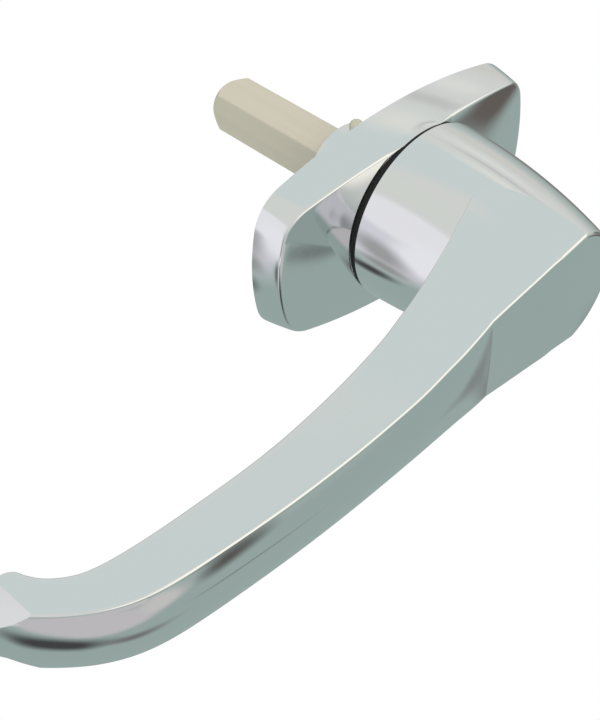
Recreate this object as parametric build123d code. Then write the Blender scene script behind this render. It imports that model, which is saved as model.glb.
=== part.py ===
from build123d import *
import os
from math import atan2, cos, exp, hypot, pi, radians, sin, sqrt, tan

os.makedirs("parts", exist_ok=True)

# Frame in mm: the origin is on the spindle's axis in the door's outer face.
# -Y is the front, +Y goes into the door, Z is up and the lever points to -X.

# Escutcheon: outline at the door, rim and neck
neck_radius = 16.25
neck_height = 8.05
land_height = 0.15
plate_half_length = 32.0
plate_half_height = neck_radius + 1.25
side_radius = 102.0
end_radius = 41.0
corner_radius = 7.5
wall_draft = 12.1
rim_height_mid = 7.85
rim_height_end = 5.55
rim_power = 1.67
scoop_ratio = 0.13

# Escutcheon: back, bore and fixing bosses
gasket_inset = 2.0
gasket_thickness = 1.2
pocket_inset = 4.6
pocket_depth = 3.2
bore_radius = 10.0
bore_wall = 3.2
register_radius = 12.0
register_height = 3.2
lip_thickness = 1.0
fixing_pitch = 43.0
fixing_boss_radius = 4.5
fixing_boss_height = 3.0
fixing_tap_radius = 2.1
fixing_tap_depth = 7.0

# Fits: a running fit is a shaft turning in a hole
running_gap = 0.05
face_gap = 0.03
seat_gap = 0.15

# Bush: the black ring between neck and hub is its flange
flange_radius = neck_radius - 0.15
flange_thickness = 0.92

# Handle hub, turned about the spindle's axis, and its shank
hub_rear_radius = neck_radius + 0.35
hub_mid_radius = 15.15
hub_mid_height = 25.0
hub_front_radius = 11.3
hub_front_height = 41.0
hub_face_height = 40.75
hub_face_slope = 1.4
edge_round = 0.5
cut_stock = 0.8
crease_x = -20.3
crease_depth = 0.04
tip_centre = -102.3
tip_radius = 5.95
nose_round = 2.5
shank_radius = 8.25
shank_reach = 11.0

# Spindle
spindle_side = 8.0
spindle_edge_round = 0.4
spindle_reach = 40.0
spindle_depth = 24.0
spindle_tip_radius = 3.95

# Pins, washers and seal
cross_pin_radius = 1.25
cross_pin_length = 23.0
cross_pin_height = 6.85
thrust_washer_radius = 11.0
thrust_washer_thickness = 1.0
spring_washer_radius = 10.6
spring_washer_thickness = 0.45
seal_section = 1.3
seal_width = 1.7
seal_height = 1.2
stop_pin_radius = 1.5
stop_orbit_share = 0.496
stop_pin_orbit = bore_radius + stop_orbit_share * (neck_radius - bore_radius)
stop_pin_depth = 5.0
stop_pin_reach = 3.2
stop_start_angle = 225.0
turn_angle = 90.0


def rounded(inset):
    """Quarter outline of the plate, moved inwards: key points and arc centres."""
    length = plate_half_length - inset
    height = plate_half_height - inset
    r_side = side_radius - inset
    r_end = end_radius - inset
    r_corner = corner_radius - inset
    side_centre = (0.0, height - r_side)
    end_centre = (length - r_end, 0.0)
    span = hypot(end_centre[0], side_centre[1])
    a = r_side - r_corner
    b = r_end - r_corner
    along = (a * a - b * b + span * span) / (2 * span)
    off = sqrt(a * a - along * along)
    ux = end_centre[0] / span
    uz = -side_centre[1] / span
    corner = (ux * along - uz * off, side_centre[1] + uz * along + ux * off)
    if corner[0] < 0 or corner[1] < 0:
        corner = (ux * along + uz * off, side_centre[1] + uz * along - ux * off)
    t_side = atan2(corner[1] - side_centre[1], corner[0] - side_centre[0])
    t_end = atan2(corner[1] - end_centre[1], corner[0] - end_centre[0])
    return length, height, r_side, r_end, r_corner, side_centre, end_centre, corner, t_side, t_end


def plate_outline(inset):
    """Closed outline of the plate in the door's plane."""
    length, height, r_side, r_end, r_corner, side_c, end_c, corner, t_side, t_end = rounded(inset)
    p = (side_c[0] + r_side * cos(t_side), side_c[1] + r_side * sin(t_side))
    q = (end_c[0] + r_end * cos(t_end), end_c[1] + r_end * sin(t_end))
    t = (t_side + t_end) / 2
    m = (corner[0] + r_corner * cos(t), corner[1] + r_corner * sin(t))
    with BuildSketch(Plane.XZ) as sketch:
        with BuildLine(Plane.XZ):
            ThreePointArc((-p[0], p[1]), (0, height), (p[0], p[1]))
            ThreePointArc((p[0], p[1]), (m[0], m[1]), (q[0], q[1]))
            ThreePointArc((q[0], q[1]), (length, 0), (q[0], -q[1]))
            ThreePointArc((q[0], -q[1]), (m[0], -m[1]), (p[0], -p[1]))
            ThreePointArc((p[0], -p[1]), (0, -height), (-p[0], -p[1]))
            ThreePointArc((-p[0], -p[1]), (-m[0], -m[1]), (-q[0], -q[1]))
            ThreePointArc((-q[0], -q[1]), (-length, 0), (-q[0], q[1]))
            ThreePointArc((-q[0], q[1]), (-m[0], m[1]), (-p[0], p[1]))
        make_face()
    return sketch.sketch


def cylinder(radius, y_front, y_back, x=0.0, z=0.0):
    """Cylinder along Y between two heights."""
    length = y_back - y_front
    body = Cylinder(radius, length, rotation=(90, 0, 0))
    return body.moved(Location((x, y_front + length / 2, z)))


# Outline of the plate at the height of its rim
rim_inset = rim_height_mid * tan(radians(wall_draft)) * 0.85
rim_shape = rounded(rim_inset)


def rim_reach(angle):
    """Distance from the axis to the plate's rim in one direction of a quarter."""
    side_c, end_c, corner, t_side, t_end = rim_shape[5:]
    ux = cos(angle)
    uz = sin(angle)
    p_angle = atan2(side_c[1] + rim_shape[2] * sin(t_side), side_c[0] + rim_shape[2] * cos(t_side))
    q_angle = atan2(end_c[1] + rim_shape[3] * sin(t_end), end_c[0] + rim_shape[3] * cos(t_end))
    if angle > p_angle:
        centre, radius = side_c, rim_shape[2]
    elif angle > q_angle:
        centre, radius = corner, rim_shape[4]
    else:
        centre, radius = end_c, rim_shape[3]
    dot = centre[0] * ux + centre[1] * uz
    return dot + sqrt(dot * dot - centre[0] ** 2 - centre[1] ** 2 + radius * radius)


def face_height(x, z):
    """Height of the scooped front face over the door: from the neck out to the rim."""
    rho = hypot(x, z)
    angle = atan2(abs(z), abs(x))
    reach = rim_reach(angle)
    share = abs(reach * cos(angle)) / plate_half_length
    rim = rim_height_mid - (rim_height_mid - rim_height_end) * share ** rim_power
    root = neck_height - land_height
    gap = max(reach - neck_radius, 1.5)
    slope = (rim - root) / gap - 4 * scoop_ratio
    s = (rho - neck_radius) / gap
    if s < 0:
        return root - slope * 3.0 * (1 - exp((rho - neck_radius) / 3.0))
    s = min(s, 1.6)
    return root + (rim - root) * s - 4 * scoop_ratio * gap * s * (1 - s)


# Escutcheon: drafted block under a scooped face, with a round neck
grid_half_x = plate_half_length + 4.0
grid_half_z = plate_half_height + 3.5
grid_x = [grid_half_x * (i / 24 - 1) for i in range(49)]
grid_z = [grid_half_z * (i / 14 - 1) for i in range(29)]
grid = [[Vector(x, -face_height(x, z), z) for z in grid_z] for x in grid_x]
front_face = Face.make_surface_from_array_of_points(grid, tol=0.01)
under_face = extrude(front_face, amount=25, dir=(0, 1, 0))
block = extrude(plate_outline(0), amount=neck_height, taper=wall_draft)
plate = block & under_face
neck = cylinder(neck_radius, -neck_height, -2)
plate = plate + neck
collar_radius = bore_radius + bore_wall
recess = extrude(plate_outline(gasket_inset), amount=gasket_thickness)
recess = recess - cylinder(collar_radius, -gasket_thickness, 0)
pocket = extrude(plate_outline(pocket_inset), amount=pocket_depth)
pocket = pocket - cylinder(collar_radius, -pocket_depth, 0)
half_pitch = fixing_pitch / 2
for side in (-1, 1):
    pocket = pocket - cylinder(fixing_boss_radius, -pocket_depth, 0, side * half_pitch)
plate = plate - recess - pocket
plate = plate + cylinder(register_radius, -gasket_thickness, register_height)
for side in (-1, 1):
    plate = plate + cylinder(fixing_boss_radius, -gasket_thickness, fixing_boss_height, side * half_pitch)
for side in (-1, 1):
    tap_end = fixing_boss_height - fixing_tap_depth
    plate = plate - cylinder(fixing_tap_radius, tap_end, fixing_boss_height, side * half_pitch)
lip_front = register_height - lip_thickness
plate = plate - cylinder(bore_radius, -neck_height - 1, lip_front)
plate = plate - cylinder(shank_radius + 0.35, -neck_height - 1, register_height + 1)


def arc_slot(radius_gap, y_front, y_back, angle_gap):
    """Curved slot for the stop pin, centred on its orbit."""
    half = stop_pin_radius + radius_gap
    start = stop_start_angle - angle_gap
    end = stop_start_angle + turn_angle + angle_gap
    with BuildSketch(Plane.XZ.offset(-y_back)) as sketch:
        with BuildLine():
            arc = CenterArc((0, 0), stop_pin_orbit, start, end - start)
        SlotArc(arc, 2 * half)
    return extrude(sketch.sketch, amount=y_back - y_front)


groove_depth = stop_pin_reach - flange_thickness - face_gap + 0.3
plate = plate - arc_slot(0.12, -neck_height - 1, -neck_height + groove_depth, 0.3)
export_step(plate, "parts/escutcheon.step")

# Bush: sleeve in the plate's bore and a flange under the hub
flange_front = -neck_height - flange_thickness
bush = cylinder(bore_radius, flange_front, lip_front) + cylinder(flange_radius, flange_front, -neck_height)
bush = bush - cylinder(shank_radius + running_gap, flange_front - 1, lip_front + 1)
bush = bush - arc_slot(0.12, flange_front - 1, -neck_height, 0.3)
export_step(bush, "parts/bearing_bush.step")

# Gasket in the plate's back
gasket = extrude(plate_outline(gasket_inset), amount=gasket_thickness)
gasket = gasket - cylinder(collar_radius, -gasket_thickness - 1, 1)
for side in (-1, 1):
    gasket = gasket - cylinder(fixing_boss_radius, -gasket_thickness - 1, 1, side * half_pitch)
export_step(gasket, "parts/base_gasket.step")


# Lever sections: front edge, door edge, their half widths and the front's crown
def section(front, back, half_front, half_back, crown):
    """Closed section of the lever across its length, with rounded edges."""
    fx, fy = front
    bx, by = back
    thick = hypot(fx - bx, fy - by)
    nx = (fx - bx) / thick
    ny = (fy - by) / thick
    plane = Plane(origin=(bx, by, 0), x_dir=(nx, ny, 0), z_dir=(-ny, nx, 0))
    r = edge_round
    c = r * (1 - sqrt(0.5))
    w = 1.0 if plane.from_local_coords((0, 1, 0)).Z > 0 else -1.0
    hf = half_front
    hb = half_back
    with BuildLine(plane) as line:
        Line((0, -w * (hb - r)), (0, w * (hb - r)))
        ThreePointArc((0, w * (hb - r)), (c, w * (hb - c)), (r, w * hb))
        Line((r, w * hb), (thick - r, w * hf))
        ThreePointArc((thick - r, w * hf), (thick - c, w * (hf - c)), (thick, w * (hf - r)))
        ThreePointArc((thick, w * (hf - r)), (thick + crown, 0), (thick, -w * (hf - r)))
        ThreePointArc((thick, -w * (hf - r)), (thick - c, -w * (hf - c)), (thick - r, -w * hf))
        Line((thick - r, -w * hf), (r, -w * hb))
        ThreePointArc((r, -w * hb), (c, -w * (hb - c)), (0, -w * (hb - r)))
    return line.wire()


def corner_cut(corner, first, second, radius):
    """Prism that rounds a corner of the lever's side view, between two neighbours."""
    ax, ay = first[0] - corner[0], first[1] - corner[1]
    bx, by = second[0] - corner[0], second[1] - corner[1]
    a_len = hypot(ax, ay)
    b_len = hypot(bx, by)
    ax, ay, bx, by = ax / a_len, ay / a_len, bx / b_len, by / b_len
    mx, my = ax + bx, ay + by
    m_len = hypot(mx, my)
    half = atan2(sqrt(1 - (m_len / 2) ** 2), m_len / 2)
    reach = radius / tan(half)
    centre = (corner[0] + mx / m_len * radius / sin(half), corner[1] + my / m_len * radius / sin(half))
    with BuildSketch() as sketch:
        with BuildLine():
            Polyline(
                (corner[0] + ax * reach, corner[1] + ay * reach),
                (corner[0] - mx, corner[1] - my),
                (corner[0] + bx * reach, corner[1] + by * reach),
                close=True,
            )
        make_face()
        with Locations(centre):
            Circle(radius, mode=Mode.SUBTRACT)
    return extrude(sketch.sketch, amount=10, both=True)


def hub_face(x):
    """Height of the hub's slanted front face."""
    return -hub_face_height - (2.0 - x) * tan(radians(hub_face_slope))


def stocked(x, stock, back_y, half_front, half_back):
    """Section beside the hub, left long at the front for the slanted cut."""
    front_y = hub_face(x)
    lean = (half_back - half_front) / (back_y - front_y)
    return section((x, front_y - stock), (x, back_y), half_front - lean * stock, half_back, 0.02)


lever_sections = [
    stocked(-1.0, cut_stock, -23.6, 9.2, 11.6),
    stocked(-8.0, cut_stock, -24.5, 9.8, 13.6),
    stocked(-14.0, 0.65 * cut_stock, -26.2, 9.07, 12.0),
    stocked(-18.0, 0.25 * cut_stock, -27.4, 8.55, 10.75),
    section((crease_x, hub_face(crease_x) + crease_depth), (crease_x, -28.0), 8.24, 10.1, 0.05),
    section((-22.4, -41.63), (-22.4, -28.5), 7.95, 9.55, 0.15),
    section((-24.8, -41.95), (-24.8, -29.1), 7.65, 9.0, 0.3),
    section((-32.0, -42.65), (-32.0, -30.45), 6.8, 7.3, 0.8),
    section((-40.0, -43.3), (-40.0, -31.8), 6.3, 6.3, 1.05),
    section((-50.0, -43.8), (-50.0, -33.2), 6.0, 6.0, 1.15),
    section((-61.0, -44.0), (-61.0, -34.3), 5.85, 5.85, 1.15),
    section((-75.0, -43.55), (-74.6, -34.4), 5.8, 5.8, 1.15),
    section((-87.5, -42.4), (-85.6, -34.0), 5.8, 5.8, 1.1),
    section((-95.2, -40.1), (-91.4, -33.4), 5.8, 5.8, 1.0),
    section((-101.0, -36.6), (-95.7, -31.6), 5.8, 5.8, 0.9),
    section((-105.3, -32.3), (-98.0, -29.2), 5.8, 5.8, 0.8),
    section((-108.4, -26.6), (-99.9, -25.4), 5.8, 5.8, 0.7),
]
lever = Solid.make_loft(lever_sections)
with BuildSketch(Plane.XZ) as tip_sketch:
    with Locations((-40, 0)):
        Rectangle(2 * (-tip_centre - 40), 40)
    with Locations((tip_centre, 0)):
        Circle(tip_radius)
tip_plan = extrude(tip_sketch.sketch, amount=60)
lever = lever & tip_plan
lever = lever - corner_cut((-108.4, -26.6), (-99.9, -25.4), (-105.3, -32.3), nose_round)

# Hub: turned barrel joined to the lever, both cut by the slanted face, then the shank
with BuildSketch() as hub_sketch:
    with BuildLine():
        rear = -neck_height - flange_thickness - face_gap
        Line((0, rear), (hub_rear_radius, rear))
        ThreePointArc(
            (hub_rear_radius, rear),
            (hub_mid_radius, -hub_mid_height),
            (hub_front_radius - 0.35, -hub_front_height - 1),
        )
        Line((hub_front_radius - 0.35, -hub_front_height - 1), (0, -hub_front_height - 1))
        Line((0, -hub_front_height - 1), (0, rear))
    make_face()
hub = revolve(hub_sketch.sketch, axis=Axis.Y)
handle = hub + lever
with BuildSketch() as slant_sketch:
    with BuildLine():
        Polyline(
            (crease_x, hub_face(crease_x)),
            (30, hub_face(30)),
            (30, -60),
            (crease_x, -60),
            close=True,
        )
    make_face()
handle = handle - extrude(slant_sketch.sketch, amount=30, both=True)
handle = handle + cylinder(shank_radius, rear - 1, shank_reach)
socket = Box(spindle_side, spindle_depth + shank_reach + 1, spindle_side)
socket = socket.moved(Location((0, (shank_reach + 1 - spindle_depth) / 2, 0)))
handle = handle - socket
pin_hole = Cylinder(cross_pin_radius, 40).moved(Location((0, cross_pin_height, 0)))
handle = handle - pin_hole
seal_floor = shank_radius + running_gap - seal_section
seal_ring = cylinder(shank_radius + 1, -seal_height - seal_width / 2, -seal_height + seal_width / 2)
seal_ring = seal_ring - cylinder(seal_floor, -seal_height - 2, -seal_height + 2)
handle = handle - seal_ring
stop_x = stop_pin_orbit * cos(radians(stop_start_angle))
stop_z = stop_pin_orbit * sin(radians(stop_start_angle))
handle = handle - cylinder(stop_pin_radius, rear - stop_pin_depth, rear + 1, stop_x, stop_z)
export_step(handle, "parts/lever_handle.step")

# Spindle: square bar with rounded edges and a turned end
bar_length = spindle_reach + spindle_depth
bar = Box(spindle_side, bar_length, spindle_side).moved(Location((0, (spindle_reach - spindle_depth) / 2, 0)))
bar = fillet(bar.edges().filter_by(Axis.Y), spindle_edge_round)
cone_length = spindle_side
tip_cone = Cone(spindle_tip_radius + cone_length, spindle_tip_radius, cone_length, rotation=(-90, 0, 0))
turned = cylinder(spindle_tip_radius + cone_length, -spindle_depth, spindle_reach - cone_length)
turned = turned + tip_cone.moved(Location((0, spindle_reach - cone_length / 2, 0)))
spindle = bar & turned
spindle = spindle - pin_hole
export_step(spindle, "parts/spindle.step")

# Cross pin with domed ends
pin = Cylinder(cross_pin_radius, cross_pin_length - 2 * cross_pin_radius)
for side in (-1, 1):
    dome = Sphere(cross_pin_radius).moved(Location((0, 0, side * (cross_pin_length / 2 - cross_pin_radius))))
    pin = pin + dome
pin = pin.moved(Location((0, cross_pin_height, 0)))
export_step(pin, "parts/cross_pin.step")

# Thrust washer under the cross pin
thrust_back = cross_pin_height - cross_pin_radius
thrust_front = thrust_back - thrust_washer_thickness
thrust = cylinder(thrust_washer_radius, thrust_front, thrust_back)
thrust = thrust - cylinder(shank_radius + seat_gap, thrust_front - 1, thrust_back + 1)
export_step(thrust, "parts/thrust_washer.step")

# Curved spring washer between plate and thrust washer
spring_front = register_height + face_gap
spring_bow = thrust_front - spring_front - spring_washer_thickness
bow_radius = (spring_washer_radius ** 2 + spring_bow ** 2) / (2 * spring_bow)
bow_centre = thrust_front - bow_radius
bow_outer = Cylinder(bow_radius, 40).moved(Location((0, bow_centre, 0)))
bow_inner = Cylinder(bow_radius - spring_washer_thickness, 40).moved(Location((0, bow_centre, 0)))
spring = cylinder(spring_washer_radius, spring_front - 1, thrust_front + 1)
spring = spring - cylinder(shank_radius + seat_gap, spring_front - 2, thrust_front + 2)
spring = (spring & bow_outer) - bow_inner
export_step(spring, "parts/spring_washer.step")

# Seal ring in the shank's groove
seal_middle = shank_radius + running_gap - seal_section / 2
with BuildSketch() as seal_sketch:
    with Locations((seal_middle - 0.01, -seal_height)):
        Ellipse(seal_section / 2 - 0.01, seal_width / 2)
seal = revolve(seal_sketch.sketch, axis=Axis.Y)
export_step(seal, "parts/shank_seal.step")

# Stop pin in the hub's rear face
stop = cylinder(stop_pin_radius, rear - stop_pin_depth, rear + stop_pin_reach, stop_x, stop_z)
export_step(stop, "parts/stop_pin.step")
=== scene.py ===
"""Looks of a chrome lever handle with an oblong escutcheon and a square spindle."""

import math

import bmesh
import bpy
import numpy as np
from mathutils import Matrix, Vector


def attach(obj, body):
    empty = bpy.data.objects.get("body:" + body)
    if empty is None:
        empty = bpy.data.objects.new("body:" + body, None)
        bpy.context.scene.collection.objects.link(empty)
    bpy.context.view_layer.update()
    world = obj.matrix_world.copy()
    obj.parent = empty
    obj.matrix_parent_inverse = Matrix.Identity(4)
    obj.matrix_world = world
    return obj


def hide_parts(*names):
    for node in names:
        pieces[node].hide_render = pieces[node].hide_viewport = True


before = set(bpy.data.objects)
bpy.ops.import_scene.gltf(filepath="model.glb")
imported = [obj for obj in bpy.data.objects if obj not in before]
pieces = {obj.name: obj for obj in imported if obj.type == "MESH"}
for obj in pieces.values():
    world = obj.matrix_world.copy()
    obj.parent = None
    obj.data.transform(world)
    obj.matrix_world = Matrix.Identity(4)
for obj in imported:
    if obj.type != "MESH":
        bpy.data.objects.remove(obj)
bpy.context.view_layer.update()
scene = bpy.context.scene
MM = 0.001


# Camera at the photograph's angle
CAMERA_AT = (-159.44, -140.68, 160.42)
CAMERA_AZIMUTH = math.radians(-44.52)
CAMERA_ELEVATION = math.radians(43.53)
CAMERA_ROLL = math.radians(-0.63)
LENS = 75.0


def make_camera():
    """Camera fitted to the spindle, the plate and the barrel in the photograph."""
    az, el, roll = CAMERA_AZIMUTH, CAMERA_ELEVATION, CAMERA_ROLL
    back = Vector((math.sin(az) * math.cos(el), -math.cos(az) * math.cos(el), math.sin(el)))
    right = Vector((math.cos(az), math.sin(az), 0.0))
    up = back.cross(right)
    right_rolled = math.cos(roll) * right + math.sin(roll) * up
    up_rolled = -math.sin(roll) * right + math.cos(roll) * up
    data = bpy.data.cameras.new("camera")
    data.lens = LENS
    data.sensor_width = 36.0
    data.clip_start = 0.01
    camera = bpy.data.objects.new("camera", data)
    axes = Matrix((right_rolled, up_rolled, back)).transposed()
    camera.matrix_world = Matrix.Translation(Vector(CAMERA_AT) * MM) @ axes.to_4x4()
    scene.collection.objects.link(camera)
    scene.camera = camera


# Mesh helpers. Meshes are worked out in millimetres and stored in metres.
def mesh_object(name, points, faces):
    """Object of a mesh, with its normals pointing out."""
    mesh = bpy.data.meshes.new(name)
    mesh.from_pydata([(x * MM, y * MM, z * MM) for x, y, z in points], [], faces)
    work = bmesh.new()
    work.from_mesh(mesh)
    bmesh.ops.remove_doubles(work, verts=work.verts, dist=0.2e-6)
    bmesh.ops.recalc_face_normals(work, faces=work.faces)
    work.to_mesh(mesh)
    work.free()
    obj = bpy.data.objects.new(name, mesh)
    scene.collection.objects.link(obj)
    return obj


def ring_faces(rows, count, first_cap, last_cap):
    """Faces between closed rings of count points each, with flat caps."""
    faces = []
    for i in range(rows - 1):
        for j in range(count):
            a = i * count + j
            b = i * count + (j + 1) % count
            faces.append((a, b, b + count, a + count))
    if first_cap:
        faces.append(tuple(range(count)))
    if last_cap:
        faces.append(tuple(reversed(range((rows - 1) * count, rows * count))))
    return faces


def combine(obj, tool, operation):
    """Boolean of two closed meshes. The tool is used up."""
    modifier = obj.modifiers.new("cut", "BOOLEAN")
    modifier.operation = operation
    modifier.solver = "EXACT"
    modifier.object = tool
    bpy.context.view_layer.update()
    graph = bpy.context.evaluated_depsgraph_get()
    mesh = bpy.data.meshes.new_from_object(obj.evaluated_get(graph))
    obj.modifiers.clear()
    old = obj.data
    obj.data = mesh
    bpy.data.meshes.remove(old)
    bpy.data.objects.remove(tool)


def shade(obj, angle):
    """Smooth shading with edges sharper than the angle kept crisp."""
    for polygon in obj.data.polygons:
        polygon.use_smooth = True
    obj.data.set_sharp_from_angle(angle=math.radians(angle))


def rod(name, radius, y_front, y_back, x=0.0, z=0.0, segments=96):
    """Cylinder along Y."""
    points = []
    for y in (y_front, y_back):
        for j in range(segments):
            a = 2 * math.pi * j / segments
            points.append((x + radius * math.cos(a), y, z + radius * math.sin(a)))
    return mesh_object(name, points, ring_faces(2, segments, True, True))


def block(name, low, high):
    """Box between two corners."""
    xs, ys, zs = zip(low, high)
    points = [(x, y, z) for x in xs for y in ys for z in zs]
    faces = [(0, 1, 3, 2), (4, 6, 7, 5), (0, 4, 5, 1), (2, 3, 7, 6), (0, 2, 6, 4), (1, 5, 7, 3)]
    return mesh_object(name, points, faces)


def spline(stations, values, at):
    """Natural cubic spline through values at stations."""
    x = np.asarray(stations, float)
    y = np.asarray(values, float)
    n = len(x)
    h = np.diff(x)
    system = np.zeros((n, n))
    right = np.zeros(n)
    system[0, 0] = system[-1, -1] = 1.0
    for i in range(1, n - 1):
        system[i, i - 1] = h[i - 1]
        system[i, i] = 2 * (h[i - 1] + h[i])
        system[i, i + 1] = h[i]
        right[i] = 6 * ((y[i + 1] - y[i]) / h[i] - (y[i] - y[i - 1]) / h[i - 1])
    m = np.linalg.solve(system, right)
    at = np.asarray(at, float)
    k = np.clip(np.searchsorted(x, at) - 1, 0, n - 2)
    a = (x[k + 1] - at) / h[k]
    b = (at - x[k]) / h[k]
    curve = ((a ** 3 - a) * m[k] + (b ** 3 - b) * m[k + 1]) * h[k] ** 2 / 6
    return a * y[k] + b * y[k + 1] + curve


# Sizes of the escutcheon in millimetres
NECK_RADIUS = 16.25
NECK_HEIGHT = 8.05
LAND_HEIGHT = 0.03
PLATE_LENGTH = 32.0
NECK_TO_SIDE = 1.25
PLATE_HEIGHT = NECK_RADIUS + NECK_TO_SIDE
SIDE_RADIUS = 102.0
END_RADIUS = 41.0
CORNER_RADIUS = 7.5
WALL_DRAFT = math.radians(12.1)
WALL_BOW = 0.14
RIM_MID = 7.85
RIM_END = 5.55
RIM_POWER = 1.67
RIM_ROUND = 0.55
RIM_INSET = RIM_MID * math.tan(WALL_DRAFT) * 0.85
CROWN = 0.012
LEAST_FACE = 1.5
# Its back: gasket's recess, pocket, collar, register and bore, with heights over the door
GASKET_INSET = 2.0
GASKET_DEPTH = 1.2
POCKET_INSET = 4.6
POCKET_DEPTH = 3.2
COLLAR_RADIUS = 13.2
REGISTER_RADIUS = 12.0
REGISTER_REACH = 3.2
LIP_RADIUS = 8.6
LIP_THICKNESS = 1.0
BORE_RADIUS = 10.0
# Threaded bosses and the stop pin's slot
BOSS_X = 21.5
BOSS_RADIUS = 4.5
BOSS_FRONT = -3.35
BOSS_BACK = 3.0
TAP_RADIUS = 2.1
TAP_FRONT = -4.0
STOP_ORBIT = 13.1
STOP_ANGLE = 225.0
TURN = 90.0
SLOT_HALF = 1.62
SLOT_GAP = 0.3
SLOT_FRONT = -9.0
SLOT_BACK = -5.5
# Rim of the bush's flange where it shows, widened into a black ring of painted shade for the gap between
# neck and hub: radius and y round its rim
GAP_SHADE_PROFILE = [(15.8, -8.03), (16.28, -8.03), (16.34, -8.10), (16.34, -8.76), (15.8, -8.76)]
# Points round the axis, and rows of the face, the rim's round and the wall
PLATE_POINTS = 480
FACE_ROWS = 22
ROUND_ROWS = 8
WALL_ROWS = 7
GAP_SHADE_POINTS = 240


def plate_arcs(inset):
    """Centres and radii of one quarter of the outline, and where its arcs meet."""
    height = PLATE_HEIGHT - inset
    length = PLATE_LENGTH - inset
    r_side, r_end, r_corner = SIDE_RADIUS - inset, END_RADIUS - inset, CORNER_RADIUS - inset
    side, end = (0.0, height - r_side), (length - r_end, 0.0)
    span = math.hypot(end[0], side[1])
    a, b = r_side - r_corner, r_end - r_corner
    along = (a * a - b * b + span * span) / (2 * span)
    off = math.sqrt(a * a - along * along)
    ux, uz = end[0] / span, -side[1] / span
    corner = (ux * along - uz * off, side[1] + uz * along + ux * off)
    if corner[0] < 0 or corner[1] < 0:
        corner = (ux * along + uz * off, side[1] + uz * along - ux * off)
    t_side = math.atan2(corner[1] - side[1], corner[0] - side[0])
    t_end = math.atan2(corner[1] - end[1], corner[0] - end[0])
    p = math.atan2(side[1] + r_side * math.sin(t_side), side[0] + r_side * math.cos(t_side))
    q = math.atan2(end[1] + r_end * math.sin(t_end), end[0] + r_end * math.cos(t_end))
    return (side, r_side), (corner, r_corner), (end, r_end), p, q


def plate_reach(angle, inset):
    """Distance from the axis to the outline in one direction."""
    side, corner, end, p, q = plate_arcs(inset)
    quarter = math.atan2(abs(math.sin(angle)), abs(math.cos(angle)))
    centre, radius = side if quarter > p else corner if quarter > q else end
    dot = centre[0] * math.cos(quarter) + centre[1] * math.sin(quarter)
    return dot + math.sqrt(dot * dot - centre[0] ** 2 - centre[1] ** 2 + radius * radius)


def plate_face(angle, rho):
    """Height of the slightly crowned face over the door in one direction."""
    reach = plate_reach(angle, RIM_INSET)
    share = abs(reach * math.cos(angle)) / PLATE_LENGTH
    rim = RIM_MID - (RIM_MID - RIM_END) * share ** RIM_POWER
    root = NECK_HEIGHT - LAND_HEIGHT
    gap = max(reach - NECK_RADIUS, LEAST_FACE)
    s = max(0.0, (rho - NECK_RADIUS) / gap)
    return root + (rim - root) * s + 4 * CROWN * gap * s * (1 - s)


def wall_inset(height):
    """How far the drafted and slightly bowed wall stands in at a height."""
    share = height / RIM_MID
    return height * math.tan(WALL_DRAFT) - 4 * WALL_BOW * share * (1 - share)


def plate_profile(angle):
    """Profile from the neck over the face and the rim down the wall: pairs of radius and height."""
    top = RIM_END
    for _ in range(40):
        top = plate_face(angle, plate_reach(angle, wall_inset(top)))
    corner = plate_reach(angle, wall_inset(top))
    profile = [(NECK_RADIUS, NECK_HEIGHT)]
    if corner > NECK_RADIUS + 0.05:
        bite = min(RIM_ROUND, 0.45 * (corner - NECK_RADIUS))
        start = corner - bite
        for k in range(FACE_ROWS):
            rho = NECK_RADIUS + (start - NECK_RADIUS) * k / (FACE_ROWS - 1)
            profile.append((rho, plate_face(angle, rho)))
        foot = top - bite
        p0, p1, p2 = profile[-1], (corner, top), (plate_reach(angle, wall_inset(foot)), foot)
        for k in range(1, ROUND_ROWS + 1):
            t = k / ROUND_ROWS
            rho = (1 - t) ** 2 * p0[0] + 2 * t * (1 - t) * p1[0] + t * t * p2[0]
            height = (1 - t) ** 2 * p0[1] + 2 * t * (1 - t) * p1[1] + t * t * p2[1]
            profile.append((rho, height))
    else:
        low, high = 0.0, NECK_HEIGHT
        for _ in range(40):
            foot = (low + high) / 2
            if plate_reach(angle, wall_inset(foot)) > NECK_RADIUS:
                low = foot
            else:
                high = foot
        profile += [(NECK_RADIUS, foot)] * (FACE_ROWS + ROUND_ROWS)
    for k in range(1, WALL_ROWS + 1):
        height = foot * (1 - k / WALL_ROWS)
        profile.append((plate_reach(angle, wall_inset(height)), height))
    return profile


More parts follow.
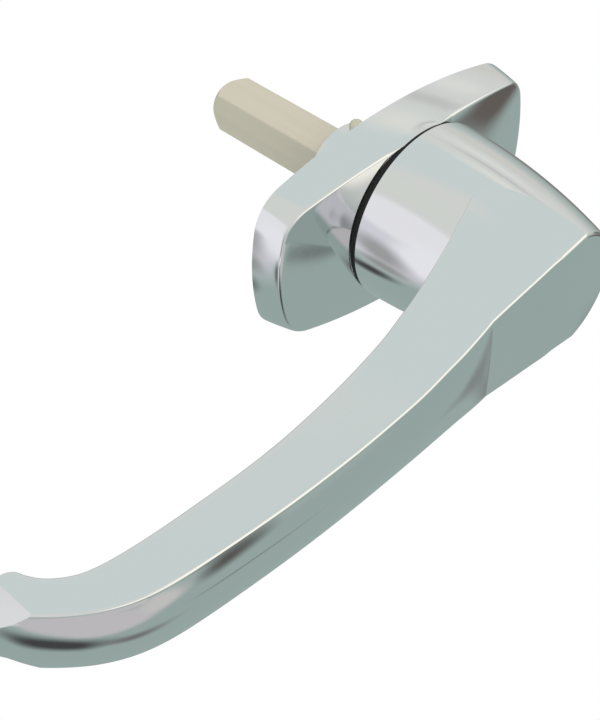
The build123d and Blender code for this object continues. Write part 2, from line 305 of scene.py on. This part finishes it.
def escutcheon_mesh():
    """Plate with its neck, gasket recess, pocket, bosses, register, bore and slot."""
    angles = [2 * math.pi * j / PLATE_POINTS for j in range(PLATE_POINTS)]
    recess = [
        (GASKET_INSET, 0.0), (GASKET_INSET, GASKET_DEPTH), (POCKET_INSET, GASKET_DEPTH),
        (POCKET_INSET, POCKET_DEPTH),
    ]
    lip = LIP_THICKNESS - REGISTER_REACH
    middle = [
        (COLLAR_RADIUS, POCKET_DEPTH), (COLLAR_RADIUS, 0.0), (REGISTER_RADIUS, 0.0),
        (REGISTER_RADIUS, -REGISTER_REACH), (LIP_RADIUS, -REGISTER_REACH), (LIP_RADIUS, lip),
        (BORE_RADIUS, lip), (BORE_RADIUS, NECK_HEIGHT), (NECK_RADIUS, NECK_HEIGHT),
    ]
    columns = []
    for angle in angles:
        back = [(plate_reach(angle, inset), height) for inset, height in recess]
        columns.append(plate_profile(angle) + back + middle)
    rows = len(columns[0])
    points = []
    for i in range(rows):
        for j, angle in enumerate(angles):
            rho, height = columns[j][i]
            points.append((rho * math.cos(angle), -height, rho * math.sin(angle)))
    obj = mesh_object("escutcheon_casting", points, ring_faces(rows, PLATE_POINTS, False, False))
    for x in (-BOSS_X, BOSS_X):
        combine(obj, rod("boss", BOSS_RADIUS, BOSS_FRONT, BOSS_BACK, x), "UNION")
        combine(obj, rod("tap", TAP_RADIUS, TAP_FRONT, BOSS_BACK + 0.1, x, segments=48), "DIFFERENCE")
    combine(obj, stop_slot(), "DIFFERENCE")
    shade(obj, 28)
    return obj


def gap_shade_ring_mesh():
    """Rim of the bush's flange, which shows between the neck and the hub: a black ring of painted shade for
    the dark gap there.
    """
    points = []
    for radius, y in GAP_SHADE_PROFILE:
        for j in range(GAP_SHADE_POINTS):
            a = 2 * math.pi * j / GAP_SHADE_POINTS
            points.append((radius * math.cos(a), y, radius * math.sin(a)))
    faces = ring_faces(len(GAP_SHADE_PROFILE), GAP_SHADE_POINTS, False, False)
    last = (len(GAP_SHADE_PROFILE) - 1) * GAP_SHADE_POINTS
    for j in range(GAP_SHADE_POINTS):
        following = (j + 1) % GAP_SHADE_POINTS
        faces.append((last + j, last + following, following, j))
    obj = mesh_object("painted_gap_shade_ring", points, faces)
    shade(obj, 30)
    return obj


def stop_slot():
    """Solid of the stop pin's slot, bent round the axis and round at both ends."""
    start = math.radians(STOP_ANGLE - SLOT_GAP)
    end = math.radians(STOP_ANGLE + TURN + SLOT_GAP)

    def arc(radius, first, last):
        """Points along the slot's length."""
        turns = [first + (last - first) * k / 32 for k in range(33)]
        return [(radius * math.cos(a), radius * math.sin(a)) for a in turns]

    def cap(a, first):
        """Points round one end."""
        cx, cz = STOP_ORBIT * math.cos(a), STOP_ORBIT * math.sin(a)
        turns = [first + math.pi * k / 12 for k in range(1, 12)]
        return [(cx + SLOT_HALF * math.cos(b), cz + SLOT_HALF * math.sin(b)) for b in turns]

    outline = arc(STOP_ORBIT + SLOT_HALF, start, end) + cap(end, end)
    outline += arc(STOP_ORBIT - SLOT_HALF, end, start) + cap(start, start + math.pi)
    points = [(x, y, z) for y in (SLOT_FRONT, SLOT_BACK) for x, z in outline]
    return mesh_object("slot", points, ring_faces(2, len(outline), True, True))


# Sizes of the handle in millimetres
EDGE_ROUND = 0.55
HUB_REAR = -8.78
HUB_REAR_RADIUS = 16.6
HUB_MID = (-25.0, 15.15)
HUB_FRONT = (-42.0, 10.95)
FACE_HEIGHT = 40.75
FACE_SLOPE = math.radians(1.4)
CREASE_X = -20.3
TIP_CORNER = (-102.5, 5.8)
TIP_FACET = (3.2, 2.5)
TIP_NOSE = 2.2
END_ROUND = 2.2
LEVER_ROWS = (40, 170)
# How far the lever stands proud of the hub's front and sides, so that their surfaces never coincide
FACE_PROUD = 0.003
SIDE_PROUD = 0.02
# Shank with its seal groove, socket for the spindle, holes for the cross pin and the stop pin
HUB_SEAT = -9.0
SHANK_RADIUS = 8.25
SHANK_END = 11.0
SHANK_CHAMFER = 0.4
SEAL_FLOOR = 7.0
SEAL_FRONT = -2.05
SEAL_BACK = -0.35
SPINDLE_HALF = 4.0
SOCKET_FRONT = -24.0
PIN_RADIUS = 1.25
PIN_Y = 6.85
STOP_RADIUS = 1.5
STOP_FRONT = -14.0
# Radius and y from the hub's rear edge to the end of the shank
SHANK_PROFILE = [
    (16.42, HUB_REAR), (16.2, HUB_SEAT), (SHANK_RADIUS, HUB_SEAT), (SHANK_RADIUS, SEAL_FRONT),
    (SEAL_FLOOR, SEAL_FRONT), (SEAL_FLOOR, SEAL_BACK), (SHANK_RADIUS, SEAL_BACK),
    (SHANK_RADIUS, SHANK_END - SHANK_CHAMFER), (SHANK_RADIUS - SHANK_CHAMFER, SHANK_END),
]
# Sides that trim the barrel: half width at x = 0 and its growth along x, at the front and at the door edge
SIDE_FRONT = (-41.0, 10.50, 0.114)
SIDE_BACK = (-24.0, 15.96, 0.280)
# Lever: front edge x, y, door edge x, y, half width at the front and at the door edge, crown.
# None stands for the hub's front face or its side surface at that place.
LEVER = [
    (1.0, None, 1.0, -25.4, 9.6, 12.6, 0.0),
    (-3.8, None, -3.8, -23.5, None, None, 0.0),
    (-8.0, None, -8.0, -24.4, 9.7, 13.65, 0.0),
    (-11.5, None, -11.2, -25.4, 9.27, 12.75, 0.0),
    (-15.0, None, -14.7, -26.5, 8.85, 11.7, 0.0),
    (-17.8, None, -18.3, -27.5, 8.5, 10.7, 0.0),
    (CREASE_X, None, -21.2, -28.25, 8.17, 9.85, 0.0),
    (-22.4, -41.63, -23.4, -28.8, 7.9, 9.3, 0.15),
    (-24.8, -41.95, -26.2, -29.4, 7.6, 8.55, 0.32),
    (-28.0, -42.3, -29.5, -30.0, 7.15, 7.75, 0.56),
    (-32.0, -42.68, -33.2, -30.75, 6.8, 7.05, 0.8),
    (-37.4, -43.2, -38.5, -31.6, 6.35, 6.4, 1.0),
    (-43.7, -43.58, -44.3, -32.5, 6.1, 6.05, 1.1),
    (-50.0, -43.85, -50.2, -33.3, 5.95, 5.93, 1.15),
    (-58.5, -44.0, -58.4, -34.15, 5.85, 5.85, 1.15),
    (-66.9, -43.9, -66.6, -34.5, 5.8, 5.8, 1.15),
    (-75.0, -43.55, -74.6, -34.45, 5.8, 5.8, 1.15),
    (-82.5, -43.05, -81.3, -34.28, 5.8, 5.8, 1.15),
    (-88.8, -42.2, -86.6, -33.95, 5.8, 5.8, 1.1),
    (-93.6, -40.65, -90.6, -33.45, 5.8, 5.8, 1.05),
    (-98.0, -38.05, -93.9, -32.55, 5.8, 5.8, 1.0),
    (-101.6, -34.9, -96.3, -31.1, 5.8, 5.8, 0.9),
    (-104.6, -31.5, -98.1, -29.3, 5.8, 5.8, 0.8),
    (-106.6, -28.4, -99.2, -27.4, 5.8, 5.8, 0.7),
]


def hub_face(x):
    """Height of the hub's slanted front face."""
    return -FACE_HEIGHT - (2.0 - x) * math.tan(FACE_SLOPE)


def side_line(y):
    """Half width at x = 0 and its growth along x, at one height."""
    t = (y - SIDE_FRONT[0]) / (SIDE_BACK[0] - SIDE_FRONT[0])
    return tuple(a + (b - a) * t for a, b in zip(SIDE_FRONT[1:], SIDE_BACK[1:]))


def side_half(x, y):
    """Half width to the side surface."""
    base, growth = side_line(y)
    return base + growth * x


def barrel_radius(y):
    """Radius of the barrel on its arc through three points."""
    (x1, y1), (x2, y2), (x3, y3) = (HUB_REAR, HUB_REAR_RADIUS), HUB_MID, HUB_FRONT
    d = 2 * (x1 * (y2 - y3) + x2 * (y3 - y1) + x3 * (y1 - y2))
    s1, s2, s3 = x1 * x1 + y1 * y1, x2 * x2 + y2 * y2, x3 * x3 + y3 * y3
    cx = (s1 * (y2 - y3) + s2 * (y3 - y1) + s3 * (y1 - y2)) / d
    cy = (s1 * (x3 - x2) + s2 * (x1 - x3) + s3 * (x2 - x1)) / d
    r = math.hypot(x1 - cx, y1 - cy)
    return cy + math.sqrt(max(r * r - (y - cx) ** 2, 0.0))


def hub_ring(height_share, inset, sink, last):
    """Ring of the barrel trimmed by the side surfaces, with points where trim and barrel meet."""
    def trim_limit(angle, y):
        """How far out the side surface lets the ring go."""
        base, growth = side_line(y)
        across = abs(math.sin(angle)) - growth * math.cos(angle)
        return (base - inset) / across if across > 0.05 else 1e3

    def height(x):
        """Height of this ring at x: level at the rear, slanted at the front."""
        front = hub_face(x) + sink
        return HUB_REAR + height_share * (front - HUB_REAR)

    def at(angle):
        """Point of the ring in one direction."""
        x = barrel_radius(height(0.0)) * math.cos(angle)
        y = height(x)
        radius = barrel_radius(y) - inset
        limit = trim_limit(angle, y)
        return min(radius, limit), y, limit < radius

    steps = [math.radians(60 + 0.25 * k) for k in range(361)]
    inside = [a for a in steps if at(a)[2]]
    first, second = (inside[0], inside[-1]) if len(inside) > 4 else last
    parts = [(0.0, first, 60), (first, second, 40), (second, math.pi, 60)]
    half = []
    for low, high, count in parts:
        half += [low + (high - low) * k / count for k in range(count)]
    half.append(math.pi)
    ring = []
    for angle in half + [-a for a in reversed(half[1:-1])]:
        radius, y, _ = at(angle)
        ring.append((radius * math.cos(angle), y, radius * math.sin(angle)))
    return ring, (first, second)


def hub_mesh():
    """Barrel hub and shank, turned about the axis, as one closed mesh."""
    rings = []
    span = (math.radians(95), math.radians(99))
    for k in range(7):
        t = math.pi / 2 * k / 6
        inset, sink = EDGE_ROUND * (1 - math.sin(t)), EDGE_ROUND * (1 - math.cos(t))
        ring, span = hub_ring(1.0, inset, sink, span)
        rings.append(ring)
    body_rows = 64
    for k in range(1, body_rows + 1):
        share = 1 - k / body_rows
        ring, span = hub_ring(share, 0.0, EDGE_ROUND, span)
        rings.append(ring)
    count = len(rings[0])
    turned = [math.atan2(p[2], p[0]) for p in rings[-1]]
    for radius, y in SHANK_PROFILE:
        rings.append([(radius * math.cos(a), y, radius * math.sin(a)) for a in turned])
    points = [p for ring in rings for p in ring]
    return mesh_object("hub", points, ring_faces(len(rings), count, True, True))


def lever_ring(front, back, half_front, half_back, crown, inset):
    """Ring of the lever across its length: crowned front, rounded edges, flat sides and back."""
    fx, fy = front
    bx, by = back
    thick = math.hypot(fx - bx, fy - by)
    tx, ty = (fx - bx) / thick, (fy - by) / thick
    r = EDGE_ROUND
    section = []
    low, high = inset, thick - inset

    def half_at(t):
        """Half width at a depth through the lever."""
        return half_back + (half_front - half_back) * t / thick

    wide = half_at(high) - r
    for k in range(25):
        z = wide * (1 - k / 12)
        section.append((high + crown * (1 - (z / wide) ** 2), z))
    for k in range(1, 7):
        a = math.pi / 2 * k / 6
        section.append((high - r * (1 - math.cos(a)), -half_at(high - r) + r * (1 - math.sin(a))))
    for k in range(1, 12):
        t = high - r + (low - high + 2 * r) * k / 12
        section.append((t, -half_at(t)))
    for k in range(7):
        a = math.pi / 2 * k / 6
        section.append((low + r * (1 - math.sin(a)), -half_at(low + r) + r * (1 - math.cos(a))))
    narrow = half_at(low + r) - r
    for k in range(1, 12):
        section.append((low, -narrow + 2 * narrow * k / 12))
    for k in range(7):
        a = math.pi / 2 * k / 6
        section.append((low + r * (1 - math.cos(a)), half_at(low + r) - r * (1 - math.sin(a))))
    for k in range(1, 12):
        t = low + r + (high - low - 2 * r) * k / 12
        section.append((t, half_at(t)))
    for k in range(6):
        a = math.pi / 2 * k / 6
        section.append((high - r * (1 - math.sin(a)), half_at(high - r) - r * (1 - math.cos(a))))
    return [(bx + tx * t, by + ty * t, z) for t, z in section]


def tip_prism():
    """Solid of the lever's outline seen from the front: facets beside a rounded nose."""
    corner_x, corner_z = TIP_CORNER
    low_x, low_z = corner_x - TIP_FACET[0], corner_z - TIP_FACET[1]
    wide_x, wide_z = corner_x + 12 * TIP_FACET[0], corner_z + 12 * TIP_FACET[1]
    outline = [(60.0, wide_z), (wide_x, wide_z)]
    for k in range(17):
        a = math.pi * k / 16
        outline.append((low_x - TIP_NOSE * math.sin(a) ** 0.8, low_z * math.cos(a)))
    outline += [(wide_x, -wide_z), (60.0, -wide_z)]
    points = [(x, y, z) for y in (-60.0, 0.0) for x, z in outline]
    return mesh_object("tip", points, ring_faces(2, len(outline), True, True))


def lever_mesh():
    """Lever from inside the hub to its rounded tip, as one closed mesh."""
    rows = []
    for fx, fy, bx, by, hf, hb, crown in LEVER:
        fy = hub_face(fx) - FACE_PROUD if fy is None else fy
        hf = side_half(fx, fy) + SIDE_PROUD if hf is None else hf
        hb = side_half(bx, by) + SIDE_PROUD if hb is None else hb
        rows.append((fx, fy, bx, by, hf, hb, crown))
    data = np.array(rows)
    middle = (data[:, :2] + data[:, 2:4]) / 2
    steps = np.hypot(*np.diff(middle, axis=0).T)
    station = np.concatenate([[0.0], np.cumsum(steps)])
    crease = [i for i, row in enumerate(LEVER) if row[0] == CREASE_X][0]
    before_crease = np.linspace(0, station[crease], LEVER_ROWS[0])
    past_crease = np.linspace(station[crease], station[-1], LEVER_ROWS[1])[1:]
    at = np.concatenate([before_crease, past_crease])
    columns = [spline(station, data[:, c], at) for c in range(7)]
    after = at >= station[crease] - 1e-9
    for c in (1, 6):
        columns[c][after] = spline(station[crease:], data[crease:, c], at[after])
    columns[1][~after] = [hub_face(x) - FACE_PROUD for x in columns[0][~after]]
    columns[6][~after] = 0.0
    rings = []
    for fx, fy, bx, by, hf, hb, crown in zip(*columns):
        rings.append(lever_ring((fx, fy), (bx, by), hf, hb, crown, 0.0))
    fx, fy, bx, by, hf, hb, crown = [column[-1] for column in columns]
    thick = math.hypot(fx - bx, fy - by)
    nx, ny = (fy - by) / thick, -(fx - bx) / thick
    if ny < 0:
        nx, ny = -nx, -ny
    for k in range(1, 11):
        a = math.pi / 2 * k / 10
        push = END_ROUND * math.sin(a)
        inset = END_ROUND * (1 - math.cos(a))
        front, back = (fx + nx * push, fy + ny * push), (bx + nx * push, by + ny * push)
        rings.append(lever_ring(front, back, hf, hb, crown, inset))
    count = len(rings[0])
    points = [p for ring in rings for p in ring]
    obj = mesh_object("lever", points, ring_faces(len(rings), count, True, True))
    combine(obj, tip_prism(), "INTERSECT")
    return obj


def handle_mesh():
    """Hub and lever in one casting, with its socket, pin holes and seal groove."""
    obj = hub_mesh()
    obj.name = "lever_handle_casting"
    combine(obj, lever_mesh(), "UNION")
    low = (-SPINDLE_HALF, SOCKET_FRONT, -SPINDLE_HALF)
    high = (SPINDLE_HALF, SHANK_END + 1.0, SPINDLE_HALF)
    combine(obj, block("socket", low, high), "DIFFERENCE")
    pin = rod("pin_hole", PIN_RADIUS, -13.0, 13.0, segments=48)
    pin.data.transform(Matrix.Rotation(math.pi / 2, 4, "X"))
    pin.data.transform(Matrix.Translation((0.0, PIN_Y * MM, 0.0)))
    combine(obj, pin, "DIFFERENCE")
    stop = math.radians(STOP_ANGLE)
    x, z = STOP_ORBIT * math.cos(stop), STOP_ORBIT * math.sin(stop)
    combine(obj, rod("stop_hole", STOP_RADIUS, STOP_FRONT, HUB_SEAT + 0.1, x, z, 48), "DIFFERENCE")
    shade(obj, 14)
    return obj


# Light tent that bare metal mirrors: azimuth from the front towards +X and elevation of each panel in
# degrees, its half width, half height and tilt, how soft its edge is, and its colour as displayed.
CHROME = 0.86
TENT_LOW = (0.575, 0.635, 0.622)
TENT_HIGH = (0.800, 0.810, 0.800)
PANELS = [
    (130, 64, 75, 24, 0, 0.5, (0.765, 0.804, 0.802)),
    (112, 48, 16, 7, 0, 0.9, (0.840, 0.845, 0.820)),
    (112, 38, 16, 3.5, 0, 0.9, (0.735, 0.740, 0.735)),
    (113, 29, 14, 5, 0, 0.8, (0.835, 0.840, 0.825)),
    (114, 14, 14, 10, 0, 0.8, (0.780, 0.775, 0.755)),
    (116, -26, 14, 15, 0, 0.8, (0.480, 0.470, 0.455)),
    (25, 30, 80, 24, 0, 0.4, (0.985, 0.975, 0.935)),
    (-128, 50, 18, 12, 0, 0.7, (0.795, 0.815, 0.790)),
    (-118, -12, 24, 34, 0, 0.5, (0.800, 0.800, 0.830)),
    (-112, 20, 21, 20, -12, 0.35, (0.872, 0.870, 0.888)),
    (-102, -8, 13, 28, 0, 0.5, (0.885, 0.885, 0.905)),
    (-117, -20, 9, 18, 0, 0.8, (0.600, 0.600, 0.610)),
    (-120, -34, 8, 7, 0, 0.8, (0.560, 0.570, 0.570)),
    (-131, -45, 10, 5.5, 20, 0.8, (0.270, 0.265, 0.275)),
    (-105, -35, 4, 10, -15, 0.9, (0.320, 0.325, 0.325)),
    (-99, -36, 5, 9, 0, 0.7, (0.940, 0.940, 0.950)),
    (-36, -24, 52, 17, -4, 0.35, (0.725, 0.715, 0.725)),
    (2, -18, 14, 12, 0, 0.6, (0.745, 0.740, 0.735)),
    (-80, -28, 14, 3, 8, 0.6, (0.930, 0.920, 0.940)),
    (-58, -47, 30, 13, -17, 0.75, (0.250, 0.250, 0.260)),
    (-12, -53, 24, 8, -5, 0.9, (0.430, 0.440, 0.440)),
    (19.5, -15, 5.5, 13, 0, 0.9, (0.330, 0.330, 0.320)),
    (26, -38.3, 10, 1.2, 0, 0.9, (0.400, 0.430, 0.430)),
    (76, -44, 7, 5, 0, 0.9, (0.490, 0.515, 0.510)),
    (64, -25, 13, 10.5, 0, 0.6, (0.370, 0.350, 0.335)),
    (82, -12, 18, 15, 0, 0.6, (0.450, 0.440, 0.425)),
]
PANEL_DEPTH = 0.9
LIGHTING_GREY = (0.72, 0.73, 0.74, 1.0)
WHITE = (1.0, 1.0, 1.0, 1.0)


def linear(colour, share=1.0):
    """Displayed colour as light, divided by the share that a surface mirrors."""
    out = []
    for c in colour:
        value = c / 12.92 if c <= 0.04045 else ((c + 0.055) / 1.055) ** 2.4
        out.append(value / share)
    return tuple(out) + (1.0,)


def soft_step(nodes, links, value, low, high):
    """Smooth step of a value from 0 to 1."""
    step = nodes.new("ShaderNodeMapRange")
    step.interpolation_type = "SMOOTHSTEP"
    step.inputs["From Min"].default_value = low
    step.inputs["From Max"].default_value = high
    links.new(value, step.inputs["Value"])
    return step.outputs["Result"]


def mixed(nodes, links, factor, first, second):
    """Colour mixed from two others, each a socket or a value."""
    mix = nodes.new("ShaderNodeMix")
    mix.data_type = "RGBA"
    for socket, value in ((mix.inputs[0], factor), (mix.inputs[6], first), (mix.inputs[7], second)):
        if isinstance(value, bpy.types.NodeSocket):
            links.new(value, socket)
        else:
            socket.default_value = value
    return mix.outputs[2]


def tent_colour(nodes, links):
    """Colour of the tent in each direction."""
    coords = nodes.new("ShaderNodeTexCoord")
    split = nodes.new("ShaderNodeSeparateXYZ")
    links.new(coords.outputs["Generated"], split.inputs["Vector"])
    rise = soft_step(nodes, links, split.outputs["Z"], -0.35, 0.40)
    colour = mixed(nodes, links, rise, linear(TENT_LOW, CHROME), linear(TENT_HIGH, CHROME))
    for azimuth, elevation, wide, high, tilt, soft, shown in PANELS:
        a, e, q = math.radians(azimuth), math.radians(elevation), math.radians(tilt)
        out = Vector((math.sin(a) * math.cos(e), -math.cos(a) * math.cos(e), math.sin(e)))
        right = Vector((math.cos(a), math.sin(a), 0.0))
        up = out.cross(right)
        if up.z < 0:
            up = -up
        across = math.cos(q) * right + math.sin(q) * up
        along = -math.sin(q) * right + math.cos(q) * up
        third = across.cross(along)
        place = nodes.new("ShaderNodeMapping")
        place.vector_type = "TEXTURE"
        place.inputs["Location"].default_value = out
        place.inputs["Rotation"].default_value = Matrix((across, along, third)).transposed().to_euler()
        half_width, half_height = math.sin(math.radians(wide)), math.sin(math.radians(high))
        place.inputs["Scale"].default_value = (half_width, half_height, PANEL_DEPTH)
        links.new(coords.outputs["Generated"], place.inputs["Vector"])
        far = nodes.new("ShaderNodeVectorMath")
        far.operation = "LENGTH"
        links.new(place.outputs["Vector"], far.inputs[0])
        share = soft_step(nodes, links, far.outputs["Value"], 1.0, 1.0 - soft)
        colour = mixed(nodes, links, share, colour, linear(shown, CHROME))
    return colour


def make_world():
    """White to the camera, an even grey for lighting, and the tent for what metal mirrors."""
    world = bpy.data.worlds.new("world")
    scene.world = world
    world.use_nodes = True
    nodes, links = world.node_tree.nodes, world.node_tree.links
    path = nodes.new("ShaderNodeLightPath")
    colour = tent_colour(nodes, links)
    colour = mixed(nodes, links, path.outputs["Is Diffuse Ray"], colour, LIGHTING_GREY)
    colour = mixed(nodes, links, path.outputs["Is Camera Ray"], colour, WHITE)
    background = nodes["Background"]
    background.inputs["Strength"].default_value = 1.0
    links.new(colour, background.inputs["Color"])


FLOOR_HALF = 2500.0
FLOOR_TOP = -320.0


def make_floor():
    """Floor well below the handle, plain white to the camera."""
    floor = block("floor", (-FLOOR_HALF, -FLOOR_HALF, FLOOR_TOP - 10.0), (FLOOR_HALF, FLOOR_HALF, FLOOR_TOP))
    material = bpy.data.materials.new("floor")
    material.use_nodes = True
    nodes, links = material.node_tree.nodes, material.node_tree.links
    shader = nodes["Principled BSDF"]
    shader.inputs["Base Color"].default_value = (0.9, 0.9, 0.9, 1.0)
    shader.inputs["Roughness"].default_value = 0.9
    bright = nodes.new("ShaderNodeEmission")
    bright.inputs["Strength"].default_value = 1.0
    path = nodes.new("ShaderNodeLightPath")
    mix = nodes.new("ShaderNodeMixShader")
    links.new(path.outputs["Is Camera Ray"], mix.inputs["Fac"])
    links.new(shader.outputs["BSDF"], mix.inputs[1])
    links.new(bright.outputs["Emission"], mix.inputs[2])
    links.new(mix.outputs["Shader"], nodes["Material Output"].inputs["Surface"])
    floor.data.materials.append(material)
    floor.visible_glossy = False


# Middle of the handle in metres, which the lamps look at
HANDLE_MIDDLE = Vector((-0.04, -0.01, 0.0))


def make_lamp(name, place, size, power):
    """Soft square lamp that looks at the handle."""
    data = bpy.data.lights.new(name, "AREA")
    data.shape = "SQUARE"
    data.size = size
    data.energy = power
    lamp = bpy.data.objects.new(name, data)
    lamp.location = Vector(place)
    towards = HANDLE_MIDDLE - Vector(place)
    lamp.rotation_euler = towards.to_track_quat("-Z", "Y").to_euler()
    lamp.visible_glossy = False
    scene.collection.objects.link(lamp)


def material_of(name):
    """New material with its nodes and links."""
    material = bpy.data.materials.new(name)
    material.use_nodes = True
    return material, material.node_tree.nodes, material.node_tree.links


def noise(nodes, links, scale, detail, stretch=(1.0, 1.0, 1.0)):
    """Noise over the object's own coordinates."""
    coords = nodes.new("ShaderNodeTexCoord")
    place = nodes.new("ShaderNodeMapping")
    place.inputs["Scale"].default_value = stretch
    links.new(coords.outputs["Object"], place.inputs["Vector"])
    texture = nodes.new("ShaderNodeTexNoise")
    texture.inputs["Scale"].default_value = scale
    texture.inputs["Detail"].default_value = detail
    links.new(place.outputs["Vector"], texture.inputs["Vector"])
    return texture.outputs["Fac"]


def ranged(nodes, links, value, low, high):
    """Value of 0 to 1 spread from low to high."""
    spread = nodes.new("ShaderNodeMapRange")
    spread.inputs["To Min"].default_value = low
    spread.inputs["To Max"].default_value = high
    links.new(value, spread.inputs["Value"])
    return spread.outputs["Result"]


def bumped(nodes, links, height, strength, distance):
    """Bump on the material's shader."""
    bump = nodes.new("ShaderNodeBump")
    bump.inputs["Strength"].default_value = strength
    bump.inputs["Distance"].default_value = distance
    links.new(height, bump.inputs["Height"])
    links.new(bump.outputs["Normal"], nodes["Principled BSDF"].inputs["Normal"])


def chrome_material():
    """Bright chrome plate over a polished casting."""
    material, nodes, links = material_of("chrome")
    shader = nodes["Principled BSDF"]
    shader.inputs["Metallic"].default_value = 1.0
    broad = noise(nodes, links, 55.0, 2.0)
    fine = noise(nodes, links, 900.0, 3.0)
    links.new(mixed(nodes, links, broad, (0.85, 0.86, 0.865, 1.0), (0.87, 0.87, 0.86, 1.0)),
              shader.inputs["Base Color"])
    links.new(ranged(nodes, links, fine, 0.045, 0.085), shader.inputs["Roughness"])
    bumped(nodes, links, broad, 0.05, 0.00004)
    return material


def metal_material(name, dark, light, metallic, rough, stretch):
    """Drawn or turned metal with fine lines, stretched along the object's own axes."""
    material, nodes, links = material_of(name)
    shader = nodes["Principled BSDF"]
    shader.inputs["Metallic"].default_value = metallic
    lines = noise(nodes, links, 420.0, 4.0, stretch)
    links.new(mixed(nodes, links, lines, dark, light), shader.inputs["Base Color"])
    links.new(ranged(nodes, links, lines, rough - 0.06, rough + 0.06), shader.inputs["Roughness"])
    bumped(nodes, links, lines, 0.12, 0.00005)
    return material


def polymer_material(name, dark, light, rough, grain):
    """Moulded black plastic or rubber with a fine grain."""
    material, nodes, links = material_of(name)
    shader = nodes["Principled BSDF"]
    shader.inputs["Specular IOR Level"].default_value = 0.25
    speck = noise(nodes, links, grain, 4.0)
    links.new(mixed(nodes, links, speck, dark, light), shader.inputs["Base Color"])
    links.new(ranged(nodes, links, speck, rough - 0.08, rough + 0.08), shader.inputs["Roughness"])
    bumped(nodes, links, speck, 0.3, 0.00006)
    return material


def dress(obj, material):
    """One material on the whole object."""
    obj.data.materials.clear()
    obj.data.materials.append(material)


make_camera()
plate = escutcheon_mesh()
handle = handle_mesh()
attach(plate, "base")
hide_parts("escutcheon")
# Black ring in the gap between neck and hub: painted shade of that gap, built as the bush's flange rim
rim = gap_shade_ring_mesh()
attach(rim, "base")
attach(handle, "handle")
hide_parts("lever_handle")

chrome = chrome_material()
nickel = metal_material(
    "nickel", dark=(0.56, 0.52, 0.41, 1.0), light=(0.66, 0.61, 0.49, 1.0),
    metallic=0.45, rough=0.36, stretch=(1.0, 0.05, 1.0),
)
steel = metal_material(
    "steel", dark=(0.56, 0.56, 0.57, 1.0), light=(0.70, 0.70, 0.70, 1.0),
    metallic=1.0, rough=0.28, stretch=(1.0, 6.0, 1.0),
)
nylon = polymer_material(
    "nylon", dark=(0.004, 0.004, 0.004, 1.0), light=(0.009, 0.009, 0.010, 1.0), rough=0.55, grain=2600.0,
)
rubber = polymer_material(
    "rubber", dark=(0.010, 0.010, 0.010, 1.0), light=(0.022, 0.022, 0.021, 1.0), rough=0.75, grain=1500.0,
)
dress(plate, chrome)
dress(handle, chrome)
# The painted gap-shade ring takes the bush's black nylon
dress(rim, nylon)
WORN = {
    "escutcheon": chrome, "lever_handle": chrome, "spindle": nickel, "cross_pin": nickel,
    "stop_pin": steel, "thrust_washer": steel, "spring_washer": steel,
    "bearing_bush": nylon, "shank_seal": rubber, "base_gasket": rubber,
}
for name, material in WORN.items():
    dress(pieces[name], material)

# The hub's barrel mirrors the studio and not the plate behind it, as in the photograph,
# so the pieces that the plate would hide from it stay out of reflections too
plate.visible_glossy = False
for name in ("base_gasket", "bearing_bush", "spring_washer", "thrust_washer"):
    pieces[name].visible_glossy = False
make_world()
make_floor()
make_lamp("key", (-0.55, -0.60, 0.75), 0.7, 9.0)
make_lamp("fill", (0.65, -0.45, 0.40), 0.8, 4.0)
scene.view_settings.view_transform = "Standard"
